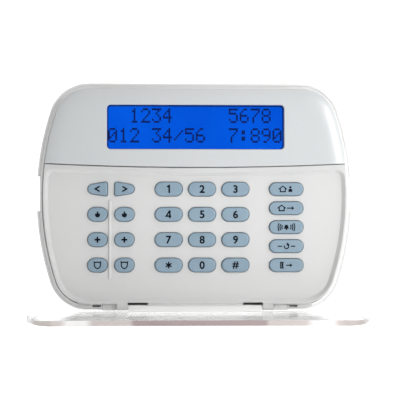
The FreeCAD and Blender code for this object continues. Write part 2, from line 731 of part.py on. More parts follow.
def make_status_light_guide():
    """Four clear posts on one strip, from the lamps to the back of the cover."""
    strip = box((STATUS_X - STRIP_HALF, STATUS_X + STRIP_HALF), (STRIP_FRONT, STRIP_BACK),
                (STATUS_Z[-1] - STRIP_MARGIN, STATUS_Z[0] + STRIP_MARGIN))
    posts = [post(STATUS_X, z, STATUS_POST_RADIUS, COVER_BACK_OF_FRONT + 0.1, STRIP_BACK + 0.2)
             for z in STATUS_Z]
    return fuse([strip] + posts)


def make_controller_chip():
    """Square flat package with a row of leads on each side."""
    x, z = CHIP_CENTRE
    body = box((x - CHIP_HALF, x + CHIP_HALF), CHIP_SPAN_Y, (z - CHIP_HALF, z + CHIP_HALF))
    leads = []
    for index in range(LEADS_PER_SIDE):
        step = (index - (LEADS_PER_SIDE - 1) / 2) * LEAD_PITCH
        for side in BOTH_SIDES:
            middle = side * (CHIP_HALF + 0.25)
            leads.append(block_at(x + middle, z + step, (1.5, 0.4), BOARD_BACK, BOARD_BACK + 0.4))
            leads.append(block_at(x + step, z + middle, (0.4, 1.5), BOARD_BACK, BOARD_BACK + 0.4))
    return fuse([body] + leads)


def make_voltage_regulator():
    """Small power package: moulded body, heat tab and three leads."""
    left, right, bottom, top = 18.0, 24.6, 12.0, 18.2
    margin = 0.6
    body = box((left, right), (BOARD_BACK, BOARD_BACK + 2.3), (bottom, top))
    tab = box((left + margin, right - margin), (BOARD_BACK, BOARD_BACK + 0.6), (top, top + 1.4))
    leads = [box((x - 0.35, x + 0.35), (BOARD_BACK, BOARD_BACK + 0.5), (bottom - 2.6, bottom))
             for x in (left + 1.0, (left + right) / 2, right - 1.0)]
    return fuse([body, tab] + leads)


def make_capacitors():
    """Two electrolytic cans laid flat on the board."""
    radius, length, left = 2.5, 11.0, 32.0
    cans = []
    for z in (14.0, 20.5):
        can = Part.makeCylinder(radius, length, vec(left, BOARD_BACK + radius, z), vec(1, 0, 0))
        cans.append(can.makeFillet(0.4, [e for e in can.Edges if len(e.Vertexes) == 1]))
    return Part.makeCompound(cans)


def terminal_columns():
    return [(index - 1.5) * WIRE_PITCH for index in range(4)]


def make_terminal_block():
    """Four-way wiring block: wires enter from below, screws face the wall."""
    head_seat = -4.5
    wire_top = -5.7
    wire_bottom = -7.3
    block = box((-10.2, 10.2), (BOARD_BACK, BLOCK_BACK), (-6, 2))
    cuts = []
    for x in terminal_columns():
        cuts.append(post(x, BLOCK_SCREW_Z, 2.0, head_seat, 0))
        cuts.append(post(x, BLOCK_SCREW_Z, 1.25, wire_top, 0))
        cuts.append(box((x - 1.2, x + 1.2), (wire_bottom, wire_top), (-7, 0)))
    return block.cut(Part.makeCompound(cuts))


def make_terminal_screws():
    head_seat = -4.5
    head_top = -3.1
    tip = -5.7
    screws = []
    for x in terminal_columns():
        head = post(x, BLOCK_SCREW_Z, 1.8, head_seat, head_top)
        shank = post(x, BLOCK_SCREW_Z, 1.2, tip, head_seat)
        slot = block_at(x, BLOCK_SCREW_Z, (4.0, 0.5), head_top - 0.6, head_top + 0.1)
        screws.append(head.fuse(shank).cut(slot))
    return Part.makeCompound(screws)


def header_columns():
    return [HEADER_SPAN_X[0] + 1.3 + HEADER_PITCH * index for index in range(4)]


def make_link_header():
    """Body of the four-pin service connector."""
    hole = 2 * PIN_HALF + 0.06
    body = box(HEADER_SPAN_X, (BOARD_BACK, BOARD_BACK + 2.5), HEADER_SPAN_Z)
    pins = [block_at(x, HEADER_Z, (hole, hole), 2 * BOARD_BACK, 0) for x in header_columns()]
    return body.cut(Part.makeCompound(pins))


def make_link_pins():
    size = (2 * PIN_HALF, 2 * PIN_HALF)
    return Part.makeCompound([block_at(x, HEADER_Z, size, BOARD_BACK, BLOCK_BACK - 0.1)
                              for x in header_columns()])


def make_buzzer():
    """Round sounder with a hole in its cap."""
    can = post(*BUZZER_CENTRE, BUZZER_RADIUS, BOARD_BACK, BUZZER_BACK)
    edge = [e for e in can.Edges if abs(e.CenterOfMass.y - BUZZER_BACK) < 1e-4]
    return can.makeFillet(0.5, edge).cut(post(*BUZZER_CENTRE, BUZZER_HOLE, BUZZER_BACK - 1.4, 0))


def make_tamper_switch():
    """Switch casing: a bore for head and spring, and a smaller hole for the rod."""
    size = (2 * TAMPER_CASE_HALF, 2 * TAMPER_CASE_HALF)
    casing = block_at(TAMPER_X, TAMPER_Z, size, BOARD_BACK, TAMPER_CASE_BACK)
    bore = post(TAMPER_X, TAMPER_Z, TAMPER_BORE, BORE_BOTTOM, TAMPER_STEP)
    mouth = post(TAMPER_X, TAMPER_Z, TAMPER_ROD + 0.1, TAMPER_STEP, 0)
    return casing.cut(bore.fuse(mouth))


def make_tamper_plunger():
    head = post(TAMPER_X, TAMPER_Z, TAMPER_HEAD, TAMPER_HEAD_FRONT, TAMPER_STEP)
    rod = post(TAMPER_X, TAMPER_Z, TAMPER_ROD, TAMPER_STEP, TAMPER_TIP)
    tip = [e for e in rod.Edges if abs(e.CenterOfMass.y - TAMPER_TIP) < 1e-4]
    return head.fuse(rod.makeFillet(TAMPER_TIP_ROUNDING, tip))


def make_tamper_spring():
    """Coil between the bottom of the bore and the head of the plunger."""
    climb = math.atan2(SPRING_PITCH, 2 * math.pi * SPRING_RADIUS)
    across = vec(0, math.cos(climb), math.sin(climb))
    helix = Part.makeHelix(SPRING_PITCH, SPRING_TURNS * SPRING_PITCH, SPRING_RADIUS)
    section = Part.Wire(Part.makeCircle(SPRING_WIRE_RADIUS, vec(SPRING_RADIUS, 0, 0), across))
    coil = Part.Wire(helix).makePipeShell([section], True, True)
    coil.rotate(vec(0, 0, 0), vec(1, 0, 0), -90)
    coil.translate(vec(TAMPER_X, BORE_BOTTOM + SPRING_WIRE_RADIUS + SPRING_SEAT, TAMPER_Z))
    return coil


def make_door():
    """Clear flip-down door, shaped closed and then turned open about its hinge."""
    door = crowned_slab(RIDGE_FRONT).fuse(slab(DOOR_INSET, FLANGE_OF_DOOR_FRONT, SKIRT_BACK))
    door = below_seam(door, SEAM_HALF_GAP)
    hollow = slab(DOOR_INSET + SKIRT_THICKNESS, RIDGE_FRONT, SKIRT_BACK)
    low = box((-HALF_WIDTH, HALF_WIDTH), (RIDGE_FRONT, SKIRT_BACK), (-HALF_HEIGHT, SKIRT_BOTTOM))
    door = door.cut(hollow).cut(low)
    start = vec(-BARREL_HALF, HINGE_Y, HINGE_Z)
    barrel = Part.makeCylinder(BARREL_RADIUS, 2 * BARREL_HALF, start, vec(1, 0, 0))
    web = box((-BARREL_HALF, BARREL_HALF), (WEB_FRONT, HINGE_Y), (-HALF_HEIGHT + DOOR_INSET, WEB_TOP))
    pins = [Part.makeCylinder(PIN_RADIUS, PIN_END - BARREL_HALF + 1,
                              vec(side * (BARREL_HALF - 1), HINGE_Y, HINGE_Z), vec(side, 0, 0))
            for side in BOTH_SIDES]
    stop = box((-STOP_HALF, STOP_HALF), (HINGE_Y + STOP_ROOT, HINGE_Y + STOP_REACH),
               (HINGE_Z - STOP_WIDTH, HINGE_Z + STOP_WIDTH))
    door = fuse([door, barrel, web, stop] + pins)
    door.rotate(vec(0, HINGE_Y, HINGE_Z), vec(1, 0, 0), DOOR_OPEN_DEG)
    return door


def make_key(x, z, circles):
    """Silicone key with a flange behind the housing, and its carbon contact pill."""
    cap = rounded_front(hull_prism(circles, KEY_FRONT, FLANGE_BACK), KEY_FRONT, KEY_ROUNDING)
    flange = hull_prism(grown(circles, FLANGE_GROWTH), FLANGE_FRONT, FLANGE_BACK)
    pill = post(x, z, PILL_RADIUS, FLANGE_BACK + BOND_LINE, PILL_TIP)
    return Part.makeCompound([cap.fuse(flange), pill])


def make_parts():
    parts = {
        "wall_plate": make_wall_plate(),
        "front_housing": make_front_housing(),
        "top_cover": make_top_cover(),
        "display_lens": make_display_lens(),
        "lcd_bezel": make_lcd_bezel(),
        "lcd_glass": make_lcd_glass(),
        "lcd_backlight": make_lcd_backlight(),
        "lcd_connectors": make_lcd_connectors(),
        "main_board": make_main_board(),
        "board_screws": make_board_screws(),
        "cover_screws": make_cover_screws(),
        "key_mat": make_key_mat(),
        "contact_pads": make_contact_pads(),
        "key_leds": make_key_leds(),
        "status_leds": make_status_leds(),
        "status_light_guide": make_status_light_guide(),
        "controller_chip": make_controller_chip(),
        "voltage_regulator": make_voltage_regulator(),
        "capacitors": make_capacitors(),
        "terminal_block": make_terminal_block(),
        "terminal_screws": make_terminal_screws(),
        "link_header": make_link_header(),
        "link_pins": make_link_pins(),
        "buzzer": make_buzzer(),
        "tamper_switch": make_tamper_switch(),
        "tamper_plunger": make_tamper_plunger(),
        "tamper_spring": make_tamper_spring(),
        "door": make_door(),
    }
    for name, x, z, circles in key_layout():
        parts[name] = make_key(x, z, circles)
    return parts


def main():
    os.makedirs("parts", exist_ok=True)
    for name, shape in make_parts().items():
        assert shape.isValid(), name
        shape.exportStep(f"parts/{name}.step")
        print(f"{name}: {len(shape.Solids)} solids, {sum(s.Volume for s in shape.Solids):.1f} mm3")


main()
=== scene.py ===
import math

import bmesh
import bpy
from mathutils import Matrix, Vector


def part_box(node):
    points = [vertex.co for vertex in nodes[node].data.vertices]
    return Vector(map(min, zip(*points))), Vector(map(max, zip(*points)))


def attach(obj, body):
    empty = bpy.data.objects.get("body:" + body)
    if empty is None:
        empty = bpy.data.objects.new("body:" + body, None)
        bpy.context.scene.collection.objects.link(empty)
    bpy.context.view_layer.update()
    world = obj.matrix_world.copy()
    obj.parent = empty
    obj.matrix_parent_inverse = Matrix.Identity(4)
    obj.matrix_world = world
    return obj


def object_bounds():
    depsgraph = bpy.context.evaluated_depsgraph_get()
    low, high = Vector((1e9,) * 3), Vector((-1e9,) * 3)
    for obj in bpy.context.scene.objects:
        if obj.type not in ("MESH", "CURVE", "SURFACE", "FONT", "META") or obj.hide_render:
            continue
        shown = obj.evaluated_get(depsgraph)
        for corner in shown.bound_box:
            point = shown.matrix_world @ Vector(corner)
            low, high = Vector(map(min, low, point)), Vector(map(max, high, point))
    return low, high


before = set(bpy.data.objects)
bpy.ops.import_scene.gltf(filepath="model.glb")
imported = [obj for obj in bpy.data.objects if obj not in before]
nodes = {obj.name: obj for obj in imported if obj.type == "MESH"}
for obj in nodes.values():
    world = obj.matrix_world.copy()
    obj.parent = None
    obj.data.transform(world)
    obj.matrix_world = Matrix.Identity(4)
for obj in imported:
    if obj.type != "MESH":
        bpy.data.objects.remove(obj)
cad_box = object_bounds()

MM = 0.001

# The free edge of the open door is an arc about a point far in front of the case.
EDGE_RADIUS = 1580.15 * MM
EDGE_CENTRE_Y = -1668.9 * MM
EDGE_SATIN_FROM = 0.5 * MM
EDGE_SATIN_TO = 0.2 * MM
MILKY_DEPTH = 6 * MM

# Printed marks. The outlines of the pictograms, and the strokes they are drawn with, are in millimetres.
INK_THICKNESS = 0.02 * MM
STROKE = 0.6
STAR_STROKE = 0.75
CHEVRON_STROKE = 0.8
ONE_STROKE = 0.85
FOUR_SLOPE_STROKE = 0.72
FOUR_STEM_STROKE = 0.8
TICK_STROKE = 0.4
SHACKLE_STROKE = 0.35
PRONG_STROKE = 0.3
STAR_REACH = 1.75
LETTER_WEIGHT = 0.03
DIGIT_HEIGHT = 4.2 * MM
HASH_HEIGHT = 3.9 * MM
STATUS_X = 55.8 * MM
STATUS_Z = (44.6 * MM, 38.5 * MM, 32.4 * MM, 26.3 * MM)

# Display: two rows of characters, five dots wide and seven high.
DOT_PITCH_X = 0.965 * MM
DOT_PITCH_Z = 1.105 * MM
DOT_WIDTH = 0.9 * MM
DOT_HEIGHT = 1.04 * MM
CHARACTER_PITCH = 5.79 * MM
ROW_PITCH = 10.45 * MM
TEXT_HALF_WIDTH = 46.1 * MM
TEXT_HALF_HEIGHT = 10.1 * MM
# The dark line round the display is painted shade, where the edge of the window shades the display.
WINDOW_SHADE_SIZE = (92.5 * MM, 22.7 * MM)
WINDOW_SHADE_RADIUS = 1.7 * MM
WINDOW_SHADE_WIDTH = 0.6 * MM
WINDOW_SHADE_CLEARANCE = 0.1 * MM

# Studio, in metres, and the camera at the viewing angle of the photograph.
FLOOR_CLEARANCE = 0.3 * MM
SWEEP_HALF_WIDTH = 3.5
SWEEP_FRONT = -3.0
BEAM_ANGLE_DEG = 15.0
BEAM_RADIUS = 0.12
CAMERA_PLACE = (-20.4 * MM, -707 * MM, -19 * MM)
CAMERA_HEADING_DEG = 1.89
CAMERA_PITCH_DEG = 1.42
CAMERA_LENS = 118.0


# ---------------------------------------------------------------- node helpers

def add_node(tree, kind, sockets=None, **settings):
    """Adds a shader node. A socket given as a value is set, and one given as another socket is linked."""
    made = tree.nodes.new(kind)
    for name, value in settings.items():
        setattr(made, name, value)
    for name, value in (sockets or {}).items():
        if isinstance(value, bpy.types.NodeSocket):
            tree.links.new(value, made.inputs[name])
        else:
            made.inputs[name].default_value = value
    return made


def object_place(tree):
    return add_node(tree, "ShaderNodeTexCoord").outputs["Object"]


def noise(tree, place, scale, detail=2.0, roughness=0.5):
    """Noise with scale features per metre."""
    made = add_node(tree, "ShaderNodeTexNoise",
                    {"Vector": place, "Scale": scale, "Detail": detail, "Roughness": roughness})
    return made.outputs["Fac"]


def ramp(tree, factor, stops):
    """Colours along a factor: stops are (position, colour)."""
    made = add_node(tree, "ShaderNodeValToRGB", {"Fac": factor})
    elements = made.color_ramp.elements
    while len(elements) < len(stops):
        elements.new(1.0)
    for element, (position, colour) in zip(elements, stops):
        element.position = position
        element.color = (*colour, 1.0)
    return made.outputs["Color"]


def spread(tree, factor, low, high):
    """Value from low to high over the middle range of a noise."""
    made = add_node(tree, "ShaderNodeMapRange",
                    {"Value": factor, "From Min": 0.3, "From Max": 0.7, "To Min": low, "To Max": high})
    return made.outputs["Result"]


def bump(tree, height, depth):
    made = add_node(tree, "ShaderNodeBump", {"Height": height, "Distance": depth, "Strength": 1.0})
    return made.outputs["Normal"]


def mapped(tree, place, **settings):
    """Place stretched or turned by the Scale or Rotation of a mapping."""
    return add_node(tree, "ShaderNodeMapping", {"Vector": place, **settings}).outputs["Vector"]


def add_to_scene(name, data):
    made = bpy.data.objects.new(name, data)
    bpy.context.scene.collection.objects.link(made)
    return made


def new_material(name, **sockets):
    """Principled material; sockets holds values that are the same all over."""
    material = bpy.data.materials.new(name)
    material.use_nodes = True
    surface = material.node_tree.nodes["Principled BSDF"]
    for socket, value in sockets.items():
        surface.inputs[socket.replace("_", " ")].default_value = value
    return material, material.node_tree, surface


def moulded(name, dark, light, gloss, grain_scale=2600.0, grain_depth=0.006 * MM, cloud_scale=35.0,
            **sockets):
    """Moulded plastic or rubber: faint clouds of colour, uneven gloss and a fine spark-eroded grain."""
    material, tree, surface = new_material(name, **sockets)
    place = object_place(tree)
    clouds = noise(tree, place, cloud_scale, detail=4.0)
    smears = noise(tree, place, cloud_scale * 6, detail=5.0, roughness=0.6)
    grain = noise(tree, place, grain_scale, detail=3.0)
    tree.links.new(ramp(tree, clouds, [(0.3, dark), (0.7, light)]), surface.inputs["Base Color"])
    tree.links.new(spread(tree, smears, *gloss), surface.inputs["Roughness"])
    tree.links.new(bump(tree, grain, grain_depth), surface.inputs["Normal"])
    return material


def metal(name, dark, light, gloss):
    """Plated or drawn metal: fine lines along X, with patches of duller plating."""
    material, tree, surface = new_material(name, Metallic=1.0)
    place = object_place(tree)
    lines = noise(tree, mapped(tree, place, Scale=(40.0, 4000.0, 4000.0)), 1.0, detail=4.0)
    patches = noise(tree, place, 400.0, detail=3.0)
    tree.links.new(ramp(tree, patches, [(0.3, dark), (0.7, light)]), surface.inputs["Base Color"])
    tree.links.new(spread(tree, lines, *gloss), surface.inputs["Roughness"])
    tree.links.new(bump(tree, lines, 0.004 * MM), surface.inputs["Normal"])
    return material


def clear_plastic(name, tint, edge_tint, gloss):
    """Coated clear pane with faint flow marks and fine wiping scratches."""
    material, tree, surface = new_material(name, Transmission_Weight=1.0, IOR=1.15, Specular_IOR_Level=0.0)
    place = object_place(tree)
    flow = noise(tree, place, 25.0, detail=2.0)
    scratches = noise(tree, mapped(tree, place, Scale=(60.0, 2500.0, 2500.0)), 1.0, detail=4.0)
    tree.links.new(ramp(tree, flow, [(0.3, edge_tint), (0.7, tint)]), surface.inputs["Base Color"])
    tree.links.new(spread(tree, scratches, *gloss), surface.inputs["Roughness"])
    tree.links.new(bump(tree, scratches, 0.0006 * MM), surface.inputs["Normal"])
    return material


def step(tree, value, low, high):
    """Smooth step of a value from 0 at low to 1 at high."""
    made = add_node(tree, "ShaderNodeMapRange", {"Value": value, "From Min": low, "From Max": high},
                    interpolation_type="SMOOTHSTEP")
    return made.outputs["Result"]


def blend(tree, factor, first, second):
    """Mix of two colours, each a value or a socket."""
    sockets = {"Fac": factor}
    for name, colour in (("Color1", first), ("Color2", second)):
        sockets[name] = colour if isinstance(colour, bpy.types.NodeSocket) else (*colour, 1.0)
    return add_node(tree, "ShaderNodeMixRGB", sockets).outputs["Color"]


def hinged_door(name):
    """Clear door: polished panel, milky barrel and web at the hinge, and a satin rose-grey free edge. Along
    the free edge, painted shade in the middle and painted highlights towards the ends.
    """
    material, tree, surface = new_material(name, IOR=1.1, Specular_IOR_Level=0.0)
    place = object_place(tree)
    parts = add_node(tree, "ShaderNodeSeparateXYZ", {"Vector": place}).outputs
    case_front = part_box("front_housing")[0].y
    milky = step(tree, parts["Y"], case_front - MILKY_DEPTH, case_front)
    flat = add_node(tree, "ShaderNodeCombineXYZ", {"X": parts["X"], "Y": parts["Y"]}).outputs["Vector"]
    far = add_node(tree, "ShaderNodeVectorMath", {0: flat, 1: (0.0, EDGE_CENTRE_Y, 0.0)},
                   operation="DISTANCE").outputs["Value"]
    satin = step(tree, far, EDGE_RADIUS + EDGE_SATIN_FROM, EDGE_RADIUS + EDGE_SATIN_TO)
    aside = add_node(tree, "ShaderNodeMath", {0: parts["X"]}, operation="ABSOLUTE").outputs["Value"]
    share = add_node(tree, "ShaderNodeMapRange", {"Value": aside, "From Max": 0.1}).outputs["Result"]
    # Colours along the free edge: painted shade in the middle where the hinge shades it, and painted
    # highlights (bright) towards the ends where light passes; the rose-grey is the edge's own tint.
    painted_hinge_shadow = (0.40, 0.32, 0.32)
    rose_grey = (0.62, 0.56, 0.54)
    bright = (0.95, 0.93, 0.92)
    edge_tint_and_painted_light = ramp(tree, share, [(0.31, painted_hinge_shadow), (0.33, rose_grey), (0.50, rose_grey), (0.54, bright),
                                     (0.62, bright), (0.66, rose_grey), (0.77, (0.64, 0.58, 0.56)),
                                     (0.80, (0.95, 0.94, 0.93))])
    body_colour = blend(tree, milky, (0.965, 0.965, 0.965), (0.96, 0.96, 0.955))
    tree.links.new(blend(tree, satin, body_colour, edge_tint_and_painted_light), surface.inputs["Base Color"])
    clouding = add_node(tree, "ShaderNodeMath", {0: milky, 1: satin}, operation="MAXIMUM").outputs["Value"]
    clearness = add_node(tree, "ShaderNodeMapRange",
                         {"Value": clouding, "To Min": 1.0, "To Max": 0.25}).outputs["Result"]
    tree.links.new(clearness, surface.inputs["Transmission Weight"])
    smears = noise(tree, place, 180.0, detail=4.0)
    tree.links.new(spread(tree, smears, 0.08, 0.14), surface.inputs["Roughness"])
    flow = noise(tree, place, 25.0, detail=2.0)
    tree.links.new(bump(tree, flow, 0.02 * MM), surface.inputs["Normal"])
    return material


def circuit_board(name):
    """Green solder mask over copper: darker glass weave, lighter tracks and small vias."""
    material, tree, surface = new_material(name, Coat_Weight=0.4, Coat_Roughness=0.2)
    place = object_place(tree)
    flat = mapped(tree, place, Rotation=(math.pi / 2, 0, 0))
    tracks = add_node(tree, "ShaderNodeTexBrick",
                      {"Vector": flat, "Scale": 220.0, "Mortar Size": 0.07, "Mortar Smooth": 0.1,
                       "Brick Width": 1.7, "Row Height": 0.42,
                       "Color1": (0.010, 0.075, 0.030, 1), "Color2": (0.013, 0.090, 0.036, 1),
                       "Mortar": (0.035, 0.190, 0.075, 1)})
    vias = add_node(tree, "ShaderNodeTexVoronoi", {"Vector": flat, "Scale": 160.0, "Randomness": 0.8})
    weave = noise(tree, place, 3500.0, detail=1.0)
    rings = ramp(tree, vias.outputs["Distance"], [(0.0, (1, 1, 1)), (0.07, (1, 1, 1)), (0.09, (0, 0, 0))])
    colour = add_node(tree, "ShaderNodeMixRGB", {"Fac": rings, "Color1": tracks.outputs["Color"],
                                                 "Color2": (0.55, 0.50, 0.38, 1)})
    tree.links.new(colour.outputs["Color"], surface.inputs["Base Color"])
    tree.links.new(spread(tree, weave, 0.28, 0.45), surface.inputs["Roughness"])
    tree.links.new(bump(tree, tracks.outputs["Fac"], 0.02 * MM), surface.inputs["Normal"])
    return material


def display_glow(name):
    """Backlit cell: saturated blue in faint clouds, with the grid of unlit dots."""
    material, tree, surface = new_material(name, Roughness=0.5, Specular_IOR_Level=0.0)
    place = object_place(tree)
    clouds = noise(tree, place, 28.0, detail=1.0)
    flat = mapped(tree, place, Rotation=(math.pi / 2, 0, 0))
    grid = add_node(tree, "ShaderNodeTexBrick",
                    {"Vector": flat, "Scale": 1 / (1.1 * MM), "Mortar Size": 0.06, "Brick Width": 0.88,
                     "Row Height": 1.0, "Color1": (1, 1, 1, 1), "Color2": (1, 1, 1, 1),
                     "Mortar": (0.86, 0.9, 0.95, 1)}, offset=0.0)
    blue = ramp(tree, clouds, [(0.3, (0.0, 0.085, 0.69)), (0.7, (0.0, 0.105, 0.78))])
    shade = add_node(tree, "ShaderNodeMixRGB", {"Fac": 1.0, "Color1": blue, "Color2": grid.outputs["Color"]},
                     blend_type="MULTIPLY")
    surface.inputs["Base Color"].default_value = (0.0, 0.005, 0.03, 1)
    tree.links.new(shade.outputs["Color"], surface.inputs["Emission Color"])
    surface.inputs["Emission Strength"].default_value = 1.0
    return material


def printed_ink(name, dark, light):
    """Screen-printed ink: slightly mottled and nearly without gloss."""
    return moulded(name, dark, light, gloss=(0.5, 0.6), grain_scale=9000.0, grain_depth=0.003 * MM,
                   cloud_scale=900.0, Specular_IOR_Level=0.05)


materials = {
    "case_plastic": moulded("case_abs", (0.568, 0.568, 0.564), (0.574, 0.574, 0.570), (0.35, 0.38)),
    # The wall plate is the case plastic made lighter: painted light, making up for the shade on its rim.
    "plate_plastic_painted_light": moulded("plate_abs_painted_light", (0.765, 0.765, 0.760), (0.775, 0.775, 0.770), (0.35, 0.38)),
    "cover_plastic": moulded("cover_abs", (0.510, 0.529, 0.536), (0.512, 0.531, 0.538), (0.28, 0.285)),
    "clear_plastic": clear_plastic("clear_acrylic", (0.99, 0.99, 0.99), (0.975, 0.98, 0.98), (0.02, 0.05)),
    "display_blue": display_glow("display_cell"),
    "diffuser_plastic": moulded("diffuser_acrylic", (0.80, 0.83, 0.86), (0.88, 0.90, 0.92), (0.3, 0.4),
                                Subsurface_Weight=0.3, Subsurface_Radius=(0.002, 0.002, 0.002)),
    "elastomer": moulded("zebra_elastomer", (0.62, 0.32, 0.38), (0.72, 0.40, 0.45), (0.5, 0.65)),
    "board_green": circuit_board("solder_mask"),
    "screw_steel": metal("zinc_plate", (0.48, 0.49, 0.50), (0.66, 0.67, 0.68), (0.22, 0.42)),
    "tinned_steel": metal("tinned_sheet", (0.55, 0.56, 0.57), (0.68, 0.69, 0.70), (0.18, 0.34)),
    "spring_steel": metal("bright_wire", (0.50, 0.50, 0.52), (0.66, 0.66, 0.68), (0.15, 0.3)),
    "pin_brass": metal("gold_flash", (0.62, 0.46, 0.16), (0.80, 0.62, 0.26), (0.2, 0.35)),
    "can_aluminium": metal("can_aluminium", (0.60, 0.61, 0.63), (0.76, 0.77, 0.79), (0.2, 0.4)),
    "mat_silicone": moulded("mat_silicone", (0.55, 0.61, 0.65), (0.62, 0.68, 0.72), (0.5, 0.62)),
    "key_silicone": moulded("key_silicone", (0.205, 0.290, 0.360), (0.225, 0.315, 0.390), (0.38, 0.50),
                            grain_scale=3500.0, grain_depth=0.004 * MM, cloud_scale=120.0,
                            Subsurface_Weight=0.25, Subsurface_Radius=(0.0008, 0.0012, 0.0016)),
    "contact_carbon": moulded("printed_carbon", (0.012, 0.012, 0.012), (0.03, 0.03, 0.03), (0.5, 0.7)),
    "lamp_plastic": moulded("lamp_body", (0.74, 0.74, 0.62), (0.82, 0.82, 0.72), (0.3, 0.4)),
    "black_plastic": moulded("moulded_black", (0.012, 0.012, 0.013), (0.03, 0.03, 0.032), (0.4, 0.6)),
    "terminal_plastic": moulded("moulded_green", (0.015, 0.16, 0.05), (0.025, 0.22, 0.08), (0.35, 0.5)),
}

for cad_node in nodes.values():
    for place_in_node, slot_material in enumerate(cad_node.data.materials):
        cad_node.data.materials[place_in_node] = materials[slot_material.name.split(".")[0]]
# The wall plate gets the lighter copy of the case plastic: painted light.
nodes["wall_plate"].data.materials[0] = materials["plate_plastic_painted_light"]
nodes["door"].data.materials[0] = hinged_door("door_polycarbonate")


# ---------------------------------------------------------------- printed marks

def flat_piece(name, faces, front, material, body):
    """Thin printed layer: faces are outlines (x, z) in metres that lie in the plane at depth front."""
    mesh_maker = bmesh.new()
    for outline in faces:
        corners = [mesh_maker.verts.new((x, front, z)) for x, z in outline]
        mesh_maker.faces.new(corners)
    bmesh.ops.recalc_face_normals(mesh_maker, faces=mesh_maker.faces)
    for face in mesh_maker.faces:
        if face.normal.y > 0:
            face.normal_flip()
    mesh = bpy.data.meshes.new(name)
    mesh_maker.to_mesh(mesh)
    mesh_maker.free()
    finish_piece(name, mesh, material, body)


def finish_piece(name, mesh, material, body):
    """Gives a flat mesh its ink, its thickness and the body that it moves with."""
    piece = add_to_scene(name, mesh)
    mesh.materials.append(material)
    ink = piece.modifiers.new("thickness", "SOLIDIFY")
    ink.thickness = INK_THICKNESS
    ink.offset = 1.0
    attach(piece, body)


def glyph(name, text, centre, height, front, material, body):
    """One character in the plain built-in font, as a mesh of the given height about its centre."""
    curve = bpy.data.curves.new(name, "FONT")
    curve.body = text
    curve.size = 1.0
    curve.offset = LETTER_WEIGHT
    curve.resolution_u = 6
    holder = add_to_scene(name, curve)
    bpy.context.view_layer.update()
    evaluated = holder.evaluated_get(bpy.context.evaluated_depsgraph_get())
    mesh = bpy.data.meshes.new_from_object(evaluated)
    bpy.data.objects.remove(holder)
    bpy.data.curves.remove(curve)
    xs = [v.co.x for v in mesh.vertices]
    ys = [v.co.y for v in mesh.vertices]
    middle = Vector(((min(xs) + max(xs)) / 2, (min(ys) + max(ys)) / 2, 0))
    scale = height / (max(ys) - min(ys))
    upright = Matrix.Translation((centre[0], front, centre[1])) @ Matrix.Rotation(math.pi / 2, 4, "X")
    mesh.transform(upright @ Matrix.Scale(scale, 4) @ Matrix.Translation(-middle))
    finish_piece(name, mesh, material, body)


def ribbon(points, width, closed=False):
    """Quads of a line of the given width through the points, mitred at its corners."""
    count = len(points)
    sides = []
    for index, point in enumerate(points):
        here = Vector(point)
        before = Vector(points[index - 1]) if closed or index > 0 else None
        after = Vector(points[(index + 1) % count]) if closed or index < count - 1 else None
        into = (here - before).normalized() if before is not None else (after - here).normalized()
        out = (after - here).normalized() if after is not None else into
        along = (into + out).normalized()
        normal = Vector((-along.y, along.x))
        reach = width / 2 / max(0.4, along.dot(into))
        sides.append((here + normal * reach, here - normal * reach))
    pairs = list(zip(sides, sides[1:]))
    if closed:
        pairs.append((sides[-1], sides[0]))
    return [[a[0], b[0], b[1], a[1]] for a, b in pairs]


def arc(x, z, radius, start_deg, end_deg, steps=14):
    """Points of an arc about (x, z)."""
    angles = [math.radians(start_deg + (end_deg - start_deg) * i / steps) for i in range(steps + 1)]
    return [(x + radius * math.cos(a), z + radius * math.sin(a)) for a in angles]


def disc(x, z, radius):
    return [arc(x, z, radius, 0, 340, 17)]


def rounded_off(points):
    """Closed outline with its corners cut off, twice."""
    for _ in range(2):
        cut = []
        for here, after in zip(points, points[1:] + points[:1]):
            cut.append(tuple(0.75 * a + 0.25 * b for a, b in zip(here, after)))
            cut.append(tuple(0.25 * a + 0.75 * b for a, b in zip(here, after)))
        points = cut
    return points


def moved(faces, shift):
    """Outlines moved along x."""
    return [[(x + shift, z) for x, z in outline] for outline in faces]


def placed_at(faces, centre_x, centre_z):
    """Outlines in millimetres about a centre, as outlines in metres."""
    return [[(centre_x + x * MM, centre_z + z * MM) for x, z in outline] for outline in faces]


def plus_sign():
    arm = 1.55
    half = 0.45
    across = [(-arm, -half), (arm, -half), (arm, half), (-arm, half)]
    upright = [(x, z) for z, x in across]
    return [across, upright]


def flame():
    outline = [(0.1, 1.9), (0.5, 1.0), (0.25, 0.2), (0.75, 0.75), (1.25, 0.35), (1.4, -0.5), (1.0, -1.3),
               (0.3, -1.65), (-0.5, -1.6), (-1.15, -1.1), (-1.4, -0.3), (-1.2, 0.5), (-0.6, 0.2), (-0.45, 0.9)]
    return [rounded_off(outline)]


def shield():
    outline = [(-1.7, 1.7), (-0.7, 1.35), (0, 1.75), (0.7, 1.35), (1.7, 1.7), (1.5, -0.6), (0.9, -1.4),
               (0, -1.85), (-0.9, -1.4), (-1.5, -0.6)]
    return ribbon(outline, STROKE, closed=True)


def house():
    outline = [(-1.3, -1.35), (1.3, -1.35), (1.3, 0.15), (1.85, 0.15), (0, 1.55), (-1.85, 0.15), (-1.3, 0.15)]
    return ribbon(outline, STROKE, closed=True)


def arrow(length):
    half = length / 2
    shaft = ribbon([(-half, 0), (half - 0.2, 0)], STROKE)
    head = [[(half, 0), (half - 1.2, 1.1), (half - 1.2, -1.1)]]
    return shaft + head


def person():
    body = [(-1.0, -1.5), (1.0, -1.5), (1.0, -0.4), (0.5, 0.2), (-0.5, 0.2), (-1.0, -0.4)]
    return disc(0, 0.95, 0.6) + [body]


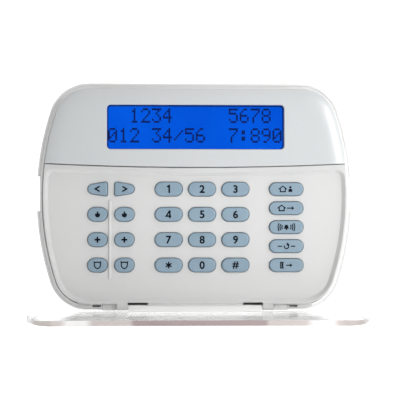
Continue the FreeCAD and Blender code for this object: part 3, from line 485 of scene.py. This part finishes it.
def bell():
    dome = [(-1.5, -0.85), (1.5, -0.85), (1.1, -0.3), (0.95, 0.6), (0.5, 1.3), (-0.5, 1.3), (-0.95, 0.6),
            (-1.1, -0.3)]
    return [dome] + disc(0, -1.2, 0.4)


def waves(side):
    turn = 0 if side > 0 else 180
    return [quad for radius in (2.4, 3.4, 4.4)
            for quad in ribbon(arc(0, 0, radius, turn - 28, turn + 28), STROKE)]


def turning_arrow():
    ring = ribbon(arc(0, -0.05, 1.2, -200, 70), STROKE)
    head = [[(1.75, 0.85), (0.1, 0.2), (0.1, 2.1)]]
    return ring + head


def bar(x, length):
    return ribbon([(x - length / 2, 0), (x + length / 2, 0)], STROKE)


def doorway():
    frame_line = ribbon([(0.4, -1.45), (-1.3, -1.45), (-1.3, 1.45), (0.4, 1.45)], STROKE)
    leaf = [[(-0.8, -1.1), (0.1, -1.1), (0.1, 1.1), (-0.8, 1.1)]]
    return frame_line + leaf


def figure_one():
    return ribbon([(-0.85, 1.05), (0.25, 1.8), (0.25, -2.1)], ONE_STROKE)


def figure_four():
    slope = ribbon([(0.5, 1.95), (-1.3, -0.95), (1.4, -0.95)], FOUR_SLOPE_STROKE)
    return slope + ribbon([(0.6, 2.1), (0.6, -2.1)], FOUR_STEM_STROKE)


def star():
    """Six strokes from the middle."""
    strokes = []
    for turn in range(3):
        angle = math.radians(30 + 60 * turn)
        tip = (STAR_REACH * math.cos(angle), STAR_REACH * math.sin(angle))
        strokes += ribbon([(-tip[0], -tip[1]), tip], STAR_STROKE)
    return strokes


def chevron(side):
    return ribbon([(-side * 1.1, 1.35), (side * 1.2, 0), (-side * 1.1, -1.35)], CHEVRON_STROKE)


pictograms = {
    "key_left": chevron(-1),
    "key_right": chevron(1),
    "key_fire_a": flame(),
    "key_fire_b": flame(),
    "key_medical_a": plus_sign(),
    "key_medical_b": plus_sign(),
    "key_panic_a": shield(),
    "key_panic_b": shield(),
    "key_1": figure_one(),
    "key_4": figure_four(),
    "key_star": star(),
    "key_stay": moved(house(), -1.9) + moved(person(), 2.1),
    "key_away": moved(house(), -2.5) + moved(arrow(3.8), 2.2),
    "key_chime": bell() + waves(1) + waves(-1),
    "key_reset": turning_arrow() + bar(-3.5, 2.4) + bar(3.5, 2.4),
    "key_exit": moved(doorway(), -1.8) + moved(arrow(3.2), 1.5),
}

characters = {f"key_{digit}": (str(digit), DIGIT_HEIGHT) for digit in (0, 2, 3, 5, 6, 7, 8, 9)}
characters["key_hash"] = ("#", HASH_HEIGHT)

black_ink = printed_ink("black_ink", (0.002, 0.004, 0.008), (0.006, 0.009, 0.015))
grey_ink = printed_ink("grey_ink", (0.50, 0.53, 0.54), (0.55, 0.58, 0.59))


def middle_of(node):
    """Middle of a node seen from the front, as (x, z)."""
    low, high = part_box(node)
    return (low.x + high.x) / 2, (low.z + high.z) / 2


def key_front(key):
    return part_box(key)[0].y


for key, faces in pictograms.items():
    marks = placed_at(faces, *middle_of(key))
    flat_piece(f"legend_{key}", marks, key_front(key), black_ink, key)

for key, (text, height) in characters.items():
    glyph(f"legend_{key}", text, middle_of(key), height, key_front(key), black_ink, key)


# ---------------------------------------------------------------- display

ROWS = ("  1234     5678 ", "012 34/56  7:890")
DOT_SHAPES = {
    "0": "01110 10001 10011 10101 11001 10001 01110",
    "1": "00100 01100 00100 00100 00100 00100 01110",
    "2": "01110 10001 00001 00010 00100 01000 11111",
    "3": "11111 00010 00100 00010 00001 10001 01110",
    "4": "00010 00110 01010 10010 11111 00010 00010",
    "5": "11111 10000 11110 00001 00001 10001 01110",
    "6": "00110 01000 10000 11110 10001 10001 01110",
    "7": "11111 00001 00010 00100 01000 01000 01000",
    "8": "01110 10001 10001 01110 10001 10001 01110",
    "9": "01110 10001 10001 01111 00001 00010 01100",
    "/": "00000 00001 00010 00100 01000 10000 00000",
    ":": "00000 01100 01100 00000 01100 01100 00000",
}


def dots_of(character, left, top):
    """Dots of one character whose first dot has its upper left corner at (left, top)."""
    dots = []
    for line, bits in enumerate(DOT_SHAPES[character].split()):
        z = top - line * DOT_PITCH_Z
        for place, bit in enumerate(bits):
            x = left + place * DOT_PITCH_X
            right = x + DOT_WIDTH
            low = z - DOT_HEIGHT
            if bit == "1":
                dots.append([(x, z), (right, z), (right, low), (x, low)])
    return dots


def display_dots():
    """Dark dots of two rows of digits, on the front of the display cell."""
    middle_x, middle_z = middle_of("lcd_glass")
    dots = []
    for row, text in enumerate(ROWS):
        top = middle_z + TEXT_HALF_HEIGHT - row * ROW_PITCH
        for column, character in enumerate(text):
            if character != " ":
                dots += dots_of(character, middle_x - TEXT_HALF_WIDTH + column * CHARACTER_PITCH, top)
    return dots


dot_ink = printed_ink("display_dots", (0.001, 0.004, 0.06), (0.002, 0.006, 0.08))
flat_piece("display_dots", display_dots(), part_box("lcd_glass")[0].y, dot_ink, "case")


def window_mask():
    """Dark line round the display, just in front of its glass: painted shade where the edge of the window
    shades the display.
    """
    middle_x, middle_z = middle_of("display_lens")
    half_x = WINDOW_SHADE_SIZE[0] / 2 - WINDOW_SHADE_RADIUS
    half_z = WINDOW_SHADE_SIZE[1] / 2 - WINDOW_SHADE_RADIUS
    line = []
    for start, side, up in ((0, 1, 1), (90, -1, 1), (180, -1, -1), (270, 1, -1)):
        line += arc(middle_x + side * half_x, middle_z + up * half_z, WINDOW_SHADE_RADIUS, start, start + 90, 8)
    return ribbon(line, WINDOW_SHADE_WIDTH, closed=True)


# Dark navy ink of the painted shade round the display.
window_shade_ink = printed_ink("window_shade_ink", (0.002, 0.012, 0.07), (0.003, 0.016, 0.09))
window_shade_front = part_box("lcd_glass")[0].y - WINDOW_SHADE_CLEARANCE
flat_piece("window_mask", window_mask(), window_shade_front, window_shade_ink, "case")


# ---------------------------------------------------------------- status marks

def tick():
    return ribbon([(-1.2, 0.1), (-0.35, -0.9), (1.3, 1.0)], TICK_STROKE)


def padlock():
    case = [[(-1.0, -1.2), (1.0, -1.2), (1.0, 0.2), (-1.0, 0.2)]]
    return case + ribbon(arc(0, 0.25, 0.65, 0, 180), SHACKLE_STROKE)


def triangle():
    return ribbon([(-1.3, -1.0), (1.3, -1.0), (0, 1.2)], SHACKLE_STROKE, closed=True)


def mains_plug():
    case = [arc(0, -0.1, 0.95, 180, 360)]
    left = ribbon([(-0.45, -0.1), (-0.45, 1.0)], PRONG_STROKE)
    right = ribbon([(0.45, -0.1), (0.45, 1.0)], PRONG_STROKE)
    return case + left + right


cover_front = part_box("top_cover")[0].y
status_marks = (tick(), padlock(), triangle(), mains_plug())
for number, (z, faces) in enumerate(zip(STATUS_Z, status_marks), start=1):
    marks = placed_at(faces, STATUS_X, z)
    flat_piece(f"status_mark_{number}", marks, cover_front, grey_ink, "case")


# ---------------------------------------------------------------- studio

def sweep_profile(depth, rise, bend, steps=12):
    """Floor line from the front to the back, a quarter bend and a wall, as (y, z)."""
    line = [(SWEEP_FRONT, 0.0), (depth - bend, 0.0)]
    for index in range(1, steps + 1):
        angle = math.pi / 2 * index / steps
        line.append((depth - bend + bend * math.sin(angle), bend * (1 - math.cos(angle))))
    line.append((depth, rise))
    return line


def make_sweep():
    """Pale floor that runs up into a wall behind the object."""
    floor_z = cad_box[0].z - FLOOR_CLEARANCE
    line = sweep_profile(depth=2.2, rise=3.0, bend=0.8)
    vertices = [(x, y, floor_z + z) for y, z in line for x in (-SWEEP_HALF_WIDTH, SWEEP_HALF_WIDTH)]
    faces = [(2 * i, 2 * i + 1, 2 * i + 3, 2 * i + 2) for i in range(len(line) - 1)]
    mesh = bpy.data.meshes.new("studio_sweep")
    mesh.from_pydata(vertices, [], faces)
    for polygon in mesh.polygons:
        polygon.use_smooth = True
    sweep = add_to_scene("studio_sweep", mesh)
    material, tree, surface = new_material("studio_white", Specular_IOR_Level=0.3, Emission_Strength=1.05,
                                           Emission_Color=(1, 1, 1, 1))
    place = object_place(tree)
    tones = ramp(tree, noise(tree, place, 3.0), [(0.3, (0.28, 0.28, 0.28)), (0.7, (0.30, 0.30, 0.30))])
    tree.links.new(tones, surface.inputs["Base Color"])
    tree.links.new(spread(tree, noise(tree, place, 40.0), 0.30, 0.40), surface.inputs["Roughness"])
    mesh.materials.append(material)


def point_along(item, location, direction):
    """Puts a light or camera at a place, looking along a direction."""
    item.location = location
    item.rotation_mode = "QUATERNION"
    item.rotation_quaternion = direction.to_track_quat("-Z", "Y")


def area_light(name, location, target, size, watts):
    data = bpy.data.lights.new(name, "AREA")
    data.shape = "RECTANGLE"
    data.size = size[0]
    data.size_y = size[1]
    data.energy = watts
    point_along(add_to_scene(name, data), location, Vector(target) - Vector(location))


def spot_light(name, location, target, watts):
    """Soft beam whose edge fades across the left side of the object."""
    data = bpy.data.lights.new(name, "SPOT")
    data.energy = watts
    data.spot_size = math.radians(BEAM_ANGLE_DEG)
    data.spot_blend = 1.0
    data.shadow_soft_size = BEAM_RADIUS
    point_along(add_to_scene(name, data), location, Vector(target) - Vector(location))


def surroundings():
    """Studio round the object: dim on the side of the camera, bright beside and behind."""
    world = bpy.data.worlds.new("studio")
    bpy.context.scene.world = world
    world.use_nodes = True
    tree = world.node_tree
    direction = add_node(tree, "ShaderNodeTexCoord").outputs["Generated"]
    depth = add_node(tree, "ShaderNodeSeparateXYZ", {"Vector": direction}).outputs["Y"]
    share = add_node(tree, "ShaderNodeMapRange", {"Value": depth, "From Min": -1.0, "From Max": 1.0})
    tones = ramp(tree, share.outputs["Result"], [(0.0, (0.22, 0.22, 0.22)), (0.35, (0.28, 0.28, 0.28)),
                                                 (0.5, (0.7, 0.7, 0.7)), (1.0, (0.6, 0.6, 0.6))])
    tree.links.new(tones, tree.nodes["Background"].inputs["Color"])


make_sweep()
area_light("key_right", (0.42, -0.22, 0.05), (0.02, 0, 0), (0.3, 0.5), 1.0)
area_light("top_soft", (0.1, -0.3, 0.7), (0, 0, 0), (0.8, 0.5), 1.75)
spot_light("beam_right", (0.45, -0.80, 0.15), (0.035, 0, -0.01), 30.0)

surroundings()
bpy.context.scene.view_settings.view_transform = "Standard"


# ---------------------------------------------------------------- camera

def make_camera():
    """Camera a little to the left of the middle and below it."""
    heading = math.radians(CAMERA_HEADING_DEG)
    pitch = math.radians(CAMERA_PITCH_DEG)
    level = math.cos(pitch)
    towards = Vector((math.sin(heading) * level, math.cos(heading) * level, math.sin(pitch)))
    camera = add_to_scene("camera", bpy.data.cameras.new("camera"))
    camera.data.lens = CAMERA_LENS
    camera.data.clip_start = 0.01
    point_along(camera, CAMERA_PLACE, towards)
    bpy.context.scene.camera = camera


make_camera()
